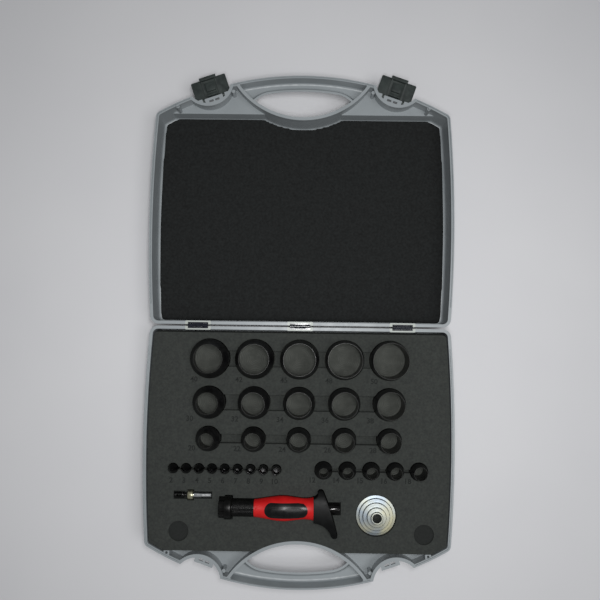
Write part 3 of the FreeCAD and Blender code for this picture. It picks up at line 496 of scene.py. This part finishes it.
def joinedRows():   # the rows' strips as one sheet, without the faces where they meet
    bm = bmesh.new()
    for name in foamRows:
        bm.from_mesh(frame["nodes"][name].data)
    seams = [low.y for low, high in rowBoxes if low.y > sheetLow.y + mm]
    meeting = [face for face in bm.faces if abs(face.normal.y) > 0.99
               and any(abs(face.calc_center_median().y - seam) < level for seam in seams)]
    bmesh.ops.delete(bm, geom=meeting, context="FACES")
    bmesh.ops.remove_doubles(bm, verts=bm.verts, dist=0.005 * mm)
    bmesh.ops.dissolve_limit(bm, angle_limit=flatAngle, verts=bm.verts, edges=bm.edges)
    drawBack(bm)
    return bm


def bevelEdges(bm, edges, radius):
    bmesh.ops.bevel(bm, geom=edges, offset=radius, segments=3, affect="EDGES", profile=0.5,
                    clamp_overlap=True)


def roundTopEdges(bm, topZ, rounding):   # where the top face meets a cut
    edges = []
    for edge in bm.edges:
        onTop = all(abs(vert.co.z - topZ) < level for vert in edge.verts)
        if onTop and any(abs(face.normal.z) < 0.5 for face in edge.link_faces):
            edges.append(edge)
    bevelEdges(bm, edges, rounding)


def stampedNumber(size):   # solid digits, standing in the foam's top face beside their punch
    text = bpy.data.curves.new("number", "FONT")
    text.body = str(size)
    text.size = foamSettings["digitHeight"] * mm / foamSettings["capital"]
    text.align_x = "CENTER"
    text.align_y = "CENTER"
    text.extrude = foamSettings["digitDepth"] * mm
    text.offset = foamSettings["digitBold"] * mm
    text.resolution_u = 3
    holder = meshObject("number", text)
    mesh = bpy.data.meshes.new_from_object(holder.evaluated_get(bpy.context.evaluated_depsgraph_get()))
    bpy.data.objects.remove(holder)
    dx, dy = next((dx, dy) for biggest, dx, dy in foamSettings["digitPlaces"] if size <= biggest)
    centre = middle("punch_%02d" % size)
    mesh.transform(Matrix.Translation((centre.x + dx * mm, centre.y + dy * mm, sheetHigh.z)))
    return mesh


def applyModifiers(obj):
    mesh = bpy.data.meshes.new_from_object(obj.evaluated_get(bpy.context.evaluated_depsgraph_get()))
    obj.modifiers.clear()
    obj.data = mesh


def booleanWith(obj, other, operation):
    cut = obj.modifiers.new("cut", "BOOLEAN")
    cut.solver = "EXACT"
    cut.operation = operation
    cut.use_self = True                 # bold digits overlap themselves
    cut.object = other
    bpy.context.view_layer.update()
    applyModifiers(obj)
    bpy.data.objects.remove(other)


def markPockets(mesh):   # offset from the pocket's centre on every pocket floor, for the cutter's swirl; its third part marks the floor for its painted light colour
    offsets = mesh.attributes.new("pocket", "FLOAT_VECTOR", "CORNER")
    centres = [(middle(name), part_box(name)) for name in punchSizes]
    for face in mesh.polygons:
        if not (facesUp(face) and liesAt(face, sheetLow.z)):
            continue
        for centre, (low, high) in centres:
            reach = (high.x - low.x) / 2 + foamSettings["pocketBorder"] * mm
            if (face.center.xy - centre.xy).length < reach:
                for corner in face.loop_indices:
                    place = mesh.vertices[mesh.loops[corner].vertex_index].co
                    offsets.data[corner].vector = (place.x - centre.x, place.y - centre.y, 1.0)


def makeBaseFoam():
    bed = meshFrom(cleanCopy("base_foam_bed"), "bed")
    bm = joinedRows()
    roundTopEdges(bm, sheetHigh.z, foamSettings["rounding"] * mm)
    foam = meshObject("baseFoam", meshFrom(bm, "sheet"))
    digits = bmesh.new()
    for size in punchSizes.values():
        digits.from_mesh(stampedNumber(size))
    booleanWith(foam, meshObject("stamp", meshFrom(digits, "stamp")), "DIFFERENCE")
    booleanWith(foam, meshObject("bed", bed), "UNION")
    mesh = foam.data
    mesh.materials.clear()
    mesh.materials.append(finishes["foam"])
    mesh.materials.append(finishes["pressed"])
    # the numbers and the recess floors take the darker finish; the bed's top in the gap by the hinges takes
    # it as painted shadow
    darkenedLevels = [sheetHigh.z - foamSettings[depth] * mm for depth in ("digitDepth", "recessDepth")]
    for face in mesh.polygons:
        stamped = any(liesAt(face, pressed, 0.05 * mm) for pressed in darkenedLevels)
        paintedGapShadow = liesAt(face, sheetLow.z) and byHinges(face.center.y)
        face.material_index = 1 if facesUp(face) and (stamped or paintedGapShadow) else 0
    shadeByAngle(mesh)
    markPockets(mesh)
    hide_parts("base_foam_bed", *foamRows)
    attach(foam, "base")
    return foam


baseFoam = makeBaseFoam()
print("base foam made,", len(baseFoam.data.polygons), "faces")


# lid foam: one soft sheet with rolled edges that lies slightly uneven

lidFoamSettings = {
    "voxel": 2.4,               # mm
    "rolled": 2,                # smoothing passes that round its edge
    "swell": 0.45, "swellAcross": 70,       # long waves, mm
    "dents": 0.12, "dentsAcross": 11,
    "seed": 4,
    "clearance": 0.02,          # kept under the solid's top, mm
}


def makeLidFoam():
    low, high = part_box("lid_foam")
    foam = meshObject("lidFoam", meshFrom(cleanCopy("lid_foam"), "lidFoam"))
    remesh = foam.modifiers.new("grid", "REMESH")
    remesh.mode = "VOXEL"
    remesh.voxel_size = lidFoamSettings["voxel"] * mm
    bpy.context.view_layer.update()
    applyModifiers(foam)
    bm = bmesh.new()
    bm.from_mesh(foam.data)
    for step in range(lidFoamSettings["rolled"]):
        bmesh.ops.smooth_vert(bm, verts=bm.verts, factor=0.5,
                              use_axis_x=True, use_axis_y=True, use_axis_z=True)
    shift = Vector((0, 0, lidFoamSettings["seed"]))
    room = high.z - lidFoamSettings["clearance"] * mm
    swellAcross, dentsAcross = (lidFoamSettings[key] * mm for key in ("swellAcross", "dentsAcross"))
    for vert in bm.verts:
        share = (vert.co.z - low.z) / (high.z - low.z)      # the underside stays flat on the lid
        swell = noise.noise(vert.co / swellAcross + shift) * lidFoamSettings["swell"]
        dent = noise.noise(vert.co / dentsAcross - shift) * lidFoamSettings["dents"]
        vert.co.z = min(vert.co.z + max(share, 0) * (swell + dent) * mm, room)
        vert.co.z = max(vert.co.z, low.z)
    bm.to_mesh(foam.data)
    bm.free()
    foam.data.materials.clear()
    foam.data.materials.append(finishes["lidFoam"])
    shadeByAngle(foam.data, 60)
    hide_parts("lid_foam")
    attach(foam, "lid")
    return foam


lidFoam = makeLidFoam()
print("lid foam made,", len(lidFoam.data.polygons), "faces")


# ring punches: one turned profile, sized by named inputs, for the twenty punches with a plain seat

ringPunch = {
    "around": 96,
    "chamfer": 0.6,             # round the back, mm
    "land": 2.2,                # straight part of the bore behind the edge
    "hollow": 0.5,              # how far the taper is ground in at its middle
    "flat": 0.3,                # left at the cutting edge
    "wall": 3.5, "seatDepth": 4.6, "taper": 15.0,   # beside and below the seat, and the ground end
}


def newTree(name, inputs):   # a node group and its inputs, each given by name and kind
    tree = bpy.data.node_groups.new(name, "GeometryNodeTree")
    for label, kind in (("Geometry", "Geometry"), *inputs):
        tree.interface.new_socket(label, in_out="INPUT", socket_type="NodeSocket" + kind)
    tree.interface.new_socket("Geometry", in_out="OUTPUT", socket_type="NodeSocketGeometry")
    return tree, tree.nodes.new("NodeGroupInput").outputs


def endTree(tree, geometry, steel):
    real = addNode(tree, "GeometryNodeRealizeInstances", {"Geometry": geometry})
    finished = addNode(tree, "GeometryNodeSetMaterial", {"Geometry": real, "Material": steel})
    tree.links.new(finished.outputs[0], tree.nodes.new("NodeGroupOutput").inputs["Geometry"])


def turnedPunchTree():
    lengths = ("Body radius", "Edge radius", "Height", "Taper", "Wall", "Seat depth", "Chamfer", "Land",
               "Hollow", "Flat")
    tree, given = newTree("turnedPunch", [("Around", "Int"), *((length, "Float") for length in lengths),
                                          ("Place", "Vector"), ("Steel", "Material")])

    def total(*terms):          # adds named inputs and numbers; a leading minus takes one away
        result = None
        for term in terms:
            minus = isinstance(term, str) and term.startswith("-")
            value = given[term.lstrip("-")] if isinstance(term, str) else term
            if result is None:
                result = value
            else:
                result = calculate(tree, "SUBTRACT" if minus else "ADD", result, value).outputs[0]
        return result

    seat = total("Body radius", "-Wall")
    edgeBack = total("Edge radius", "Flat")
    halfWay = calculate(tree, "MULTIPLY", total(edgeBack, "Body radius"), 0.5)
    taperMiddle = calculate(tree, "SUBTRACT", halfWay, given["Hollow"]).outputs[0]
    halfTaper = calculate(tree, "MULTIPLY", given["Taper"], 0.5)
    taperHeight = calculate(tree, "SUBTRACT", given["Height"], halfTaper).outputs[0]
    groundHeight = total("Height", "-Land")
    rows = [                    # radius, height, wear: up the outside, over the edge and down the bore
        (total(seat, "Chamfer"), 0.0, 0.0),
        (total("Body radius", "-Chamfer"), 0.0, 0.3),
        (given["Body radius"], given["Chamfer"], 0.3),
        (given["Body radius"], total("Height", "-Taper", "-Chamfer"), 0.15),
        (given["Body radius"], total("Height", "-Taper"), 0.4),
        (taperMiddle, taperHeight, 0.0),
        (edgeBack, given["Height"], 0.9),
        (given["Edge radius"], given["Height"], 1.0),
        (given["Edge radius"], groundHeight, 0.2),
        (seat, given["Seat depth"], 0.0),
        (seat, given["Chamfer"], 0.0),
    ]
    count = len(rows) + 1       # the first row comes again at the end and closes the loop
    index = tree.nodes.new("GeometryNodeInputIndex").outputs[0]
    row = calculate(tree, "MODULO", index, count).outputs[0]
    column = calculate(tree, "FLOOR", calculate(tree, "DIVIDE", index, count))
    share = calculate(tree, "DIVIDE", column, given["Around"])
    angle = calculate(tree, "MULTIPLY", share, 2 * math.pi)
    profile = addNode(tree, "GeometryNodeIndexSwitch", data_type="VECTOR")
    while len(profile.index_switch_items) < count:
        profile.index_switch_items.new()
    tree.links.new(row, profile.inputs["Index"])
    for number, (radius, height, wear) in enumerate(rows + rows[:1]):
        point = addNode(tree, "ShaderNodeCombineXYZ", {"X": radius, "Y": wear, "Z": height})
        tree.links.new(point.outputs[0], profile.inputs[number + 1])
    chosen = addNode(tree, "ShaderNodeSeparateXYZ", {0: profile.outputs[0]}).outputs
    x = calculate(tree, "MULTIPLY", chosen["X"], calculate(tree, "COSINE", angle))
    y = calculate(tree, "MULTIPLY", chosen["X"], calculate(tree, "SINE", angle))
    place = addNode(tree, "ShaderNodeCombineXYZ", {"X": x, "Y": y, "Z": chosen["Z"]})
    columns = calculate(tree, "ADD", given["Around"], 1.0)
    grid = addNode(tree, "GeometryNodeMeshGrid", {"Size X": 1.0, "Size Y": 1.0, "Vertices X": columns,
                                                  "Vertices Y": count})
    worn = addNode(tree, "GeometryNodeStoreNamedAttribute",
                   {"Geometry": grid.outputs["Mesh"], "Name": "worn", "Value": chosen["Y"]},
                   data_type="FLOAT", domain="POINT")
    placed = addNode(tree, "GeometryNodeSetPosition", {"Geometry": worn, "Position": place})
    closed = addNode(tree, "GeometryNodeMergeByDistance", {"Geometry": placed, "Distance": 0.01 * mm})
    moved = addNode(tree, "GeometryNodeTransform", {"Geometry": closed, "Translation": given["Place"]})
    endTree(tree, moved, given["Steel"])
    return tree


def fromTree(name, tree, values):   # a plain mesh object made by a node tree with these inputs
    holder = meshObject(name, bpy.data.meshes.new(name))
    modifier = holder.modifiers.new("nodes", "NODES")
    modifier.node_group = tree
    for socket in tree.interface.items_tree:
        if socket.in_out == "INPUT" and socket.name in values:
            modifier[socket.identifier] = values[socket.name]
    applyModifiers(holder)
    return holder


def outward(mesh):
    bm = bmesh.new()
    bm.from_mesh(mesh)
    bmesh.ops.recalc_face_normals(bm, faces=bm.faces)
    bm.to_mesh(mesh)
    bm.free()


turnedPunch = turnedPunchTree()
for node, size in punchSizes.items():
    if size < firstRing:
        continue
    low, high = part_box(node)
    values = {
        "Around": ringPunch["around"], "Body radius": (high.x - low.x) / 2, "Edge radius": size / 2 * mm,
        "Height": high.z - low.z, "Taper": ringPunch["taper"] * mm, "Wall": ringPunch["wall"] * mm,
        "Seat depth": ringPunch["seatDepth"] * mm, "Chamfer": ringPunch["chamfer"] * mm,
        "Land": ringPunch["land"] * mm, "Hollow": ringPunch["hollow"] * mm, "Flat": ringPunch["flat"] * mm,
        "Place": (middle(node).x, middle(node).y, low.z), "Steel": finishes["punch"],
    }
    punch = fromTree("ringPunch_%02d" % size, turnedPunch, values)
    outward(punch.data)
    shadeByAngle(punch.data, 24)
    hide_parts(node)
    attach(punch, node + "_body")
print("ring punches turned")


# moulded and turned pieces with their real edge radii, which catch the light

edgeRadii = {                   # mm, the finish and, for the pin's end, how much slimmer it is turned
    "latch_left": (0.5, "latch"), "latch_right": (0.5, "latch"), "grip_inlay": (0.9, "inlay"),
    "hand_guard": (1.6, "black"), "striking_shank": (0.6, "struck"), "clamp_nut": (0.5, "tool"),
    "stepped_adaptor": (0.35, "zinc"), "pin_slotted_end": (1.1, "tool", 0.8), "pin_collar": (1.2, "brassy"),
}
edgeRadii.update({name: (0.45, "finePunch") for name, size in punchSizes.items() if size < firstRing})
creaseAngle = math.radians(28)  # edges sharper than this are rounded


def camelName(node):
    first, *others = node.split("_")
    return first + "".join(other.capitalize() for other in others)


def standFor(piece, node):   # the piece takes the CAD node's place and body
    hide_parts(node)
    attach(piece, frame["nodes"][node]["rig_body"])


def softenEdges(node, radius, finish, slim=1.0):
    bm = cleanCopy(node)
    edges = [edge for edge in bm.edges
             if len(edge.link_faces) == 2 and edge.calc_face_angle(0) > creaseAngle]
    bevelEdges(bm, edges, radius * mm)
    bmesh.ops.remove_doubles(bm, verts=bm.verts, dist=merged)
    centre = middle(node)
    for vert in bm.verts:
        vert.co.y = centre.y + (vert.co.y - centre.y) * slim
        vert.co.z = centre.z + (vert.co.z - centre.z) * slim
    mesh = meshFrom(bm, camelName(node), finishes[finish])
    shadeByAngle(mesh, 40)
    standFor(meshObject(camelName(node), mesh), node)


for node, choices in edgeRadii.items():
    softenEdges(node, *choices)
print("edges softened on", len(edgeRadii), "pieces")


# sleeve: diamond knurl, rolled on in staggered rows

knurl = {"around": 40, "rows": 32, "height": 0.32, "sunk": 0.06, "inset": 1.0}     # mm


def knurlTree():
    tree, given = newTree("diamondKnurl", [("Around", "Int"), ("Rows", "Int"), ("Radius", "Float"),
                                           ("Length", "Float"), ("Height", "Float"), ("Start", "Vector"),
                                           ("Steel", "Material")])
    index = tree.nodes.new("GeometryNodeInputIndex").outputs[0]
    count = calculate(tree, "MULTIPLY", given["Around"], given["Rows"])
    row = calculate(tree, "FLOOR", calculate(tree, "DIVIDE", index, given["Around"]))
    stagger = calculate(tree, "MULTIPLY", calculate(tree, "MODULO", row, 2.0), 0.5)      # every second row
    place = calculate(tree, "ADD", index, stagger)
    turn = calculate(tree, "MULTIPLY", calculate(tree, "DIVIDE", place, given["Around"]), 2 * math.pi)
    spacing = calculate(tree, "DIVIDE", given["Length"], given["Rows"])
    along = calculate(tree, "MULTIPLY", calculate(tree, "ADD", row, 0.5), spacing)
    outwards = addNode(tree, "ShaderNodeCombineXYZ", {"Y": calculate(tree, "COSINE", turn),
                                                      "Z": calculate(tree, "SINE", turn)})
    onSleeve = addNode(tree, "ShaderNodeVectorMath", {0: outwards, "Scale": given["Radius"]},
                       operation="SCALE")
    lengthways = addNode(tree, "ShaderNodeCombineXYZ", {"X": along})
    spot = addNode(tree, "ShaderNodeVectorMath", {0: onSleeve, 1: lengthways})
    placed = addNode(tree, "ShaderNodeVectorMath", {0: spot, 1: given["Start"]})
    points = addNode(tree, "GeometryNodePoints", {"Count": count, "Position": placed})
    diamond = addNode(tree, "GeometryNodeMeshCone",
                      {"Vertices": 4, "Radius Top": 0.0, "Radius Bottom": spacing, "Depth": given["Height"]},
                      fill_type="NGON")
    facing = addNode(tree, "FunctionNodeAlignRotationToVector", {"Vector": outwards}, axis="Z")
    teeth = addNode(tree, "GeometryNodeInstanceOnPoints",
                    {"Points": points, "Instance": diamond.outputs["Mesh"], "Rotation": facing})
    endTree(tree, teeth, given["Steel"])
    return tree


def makeKnurl():
    low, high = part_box("chuck_sleeve")
    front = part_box("clamp_nut")[1].x + knurl["inset"] * mm
    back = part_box("grip")[0].x - knurl["inset"] * mm
    centre = middle("chuck_sleeve")
    teeth = fromTree("sleeveKnurl", knurlTree(), {
        "Around": knurl["around"], "Rows": knurl["rows"], "Height": knurl["height"] * mm,
        "Radius": (high.z - low.z) / 2 - knurl["sunk"] * mm, "Length": back - front,
        "Start": (front, centre.y, centre.z), "Steel": finishes["tool"],
    })
    outward(teeth.data)
    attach(teeth, frame["nodes"]["chuck_sleeve"]["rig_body"])


makeKnurl()
print("sleeve knurled")


# centring pin's shank: stepped once, its end blunt with a small chamfer

pinShank = {                    # mm from the collar, radius
    "profile": ((0, 0), (0, 3.5), (11.2, 3.5), (11.6, 3.2), (24.9, 3.2), (25.5, 2.6), (25.5, 0)),
    "around": 48,
}


def makePinShank():
    low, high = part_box("pin_shank")
    centre = (low + high) / 2
    around = pinShank["around"]
    bm = bmesh.new()
    rings = []
    for along, radius in pinShank["profile"]:
        ring = []
        for step in range(around):
            angle = 2 * math.pi * step / around
            ring.append(bm.verts.new((low.x + along * mm, centre.y + radius * mm * math.cos(angle),
                                      centre.z + radius * mm * math.sin(angle))))
        rings.append(ring)
    for inner, outer in zip(rings, rings[1:]):
        for step in range(around):
            after = (step + 1) % around
            bm.faces.new((inner[step], inner[after], outer[after], outer[step]))
    bmesh.ops.remove_doubles(bm, verts=bm.verts, dist=merged)
    bmesh.ops.recalc_face_normals(bm, faces=bm.faces)
    mesh = meshFrom(bm, "pinShank", finishes["steel"])
    shadeByAngle(mesh, 30)
    standFor(meshObject("pinShank", mesh), "pin_shank")


makePinShank()
print("pin shank turned")
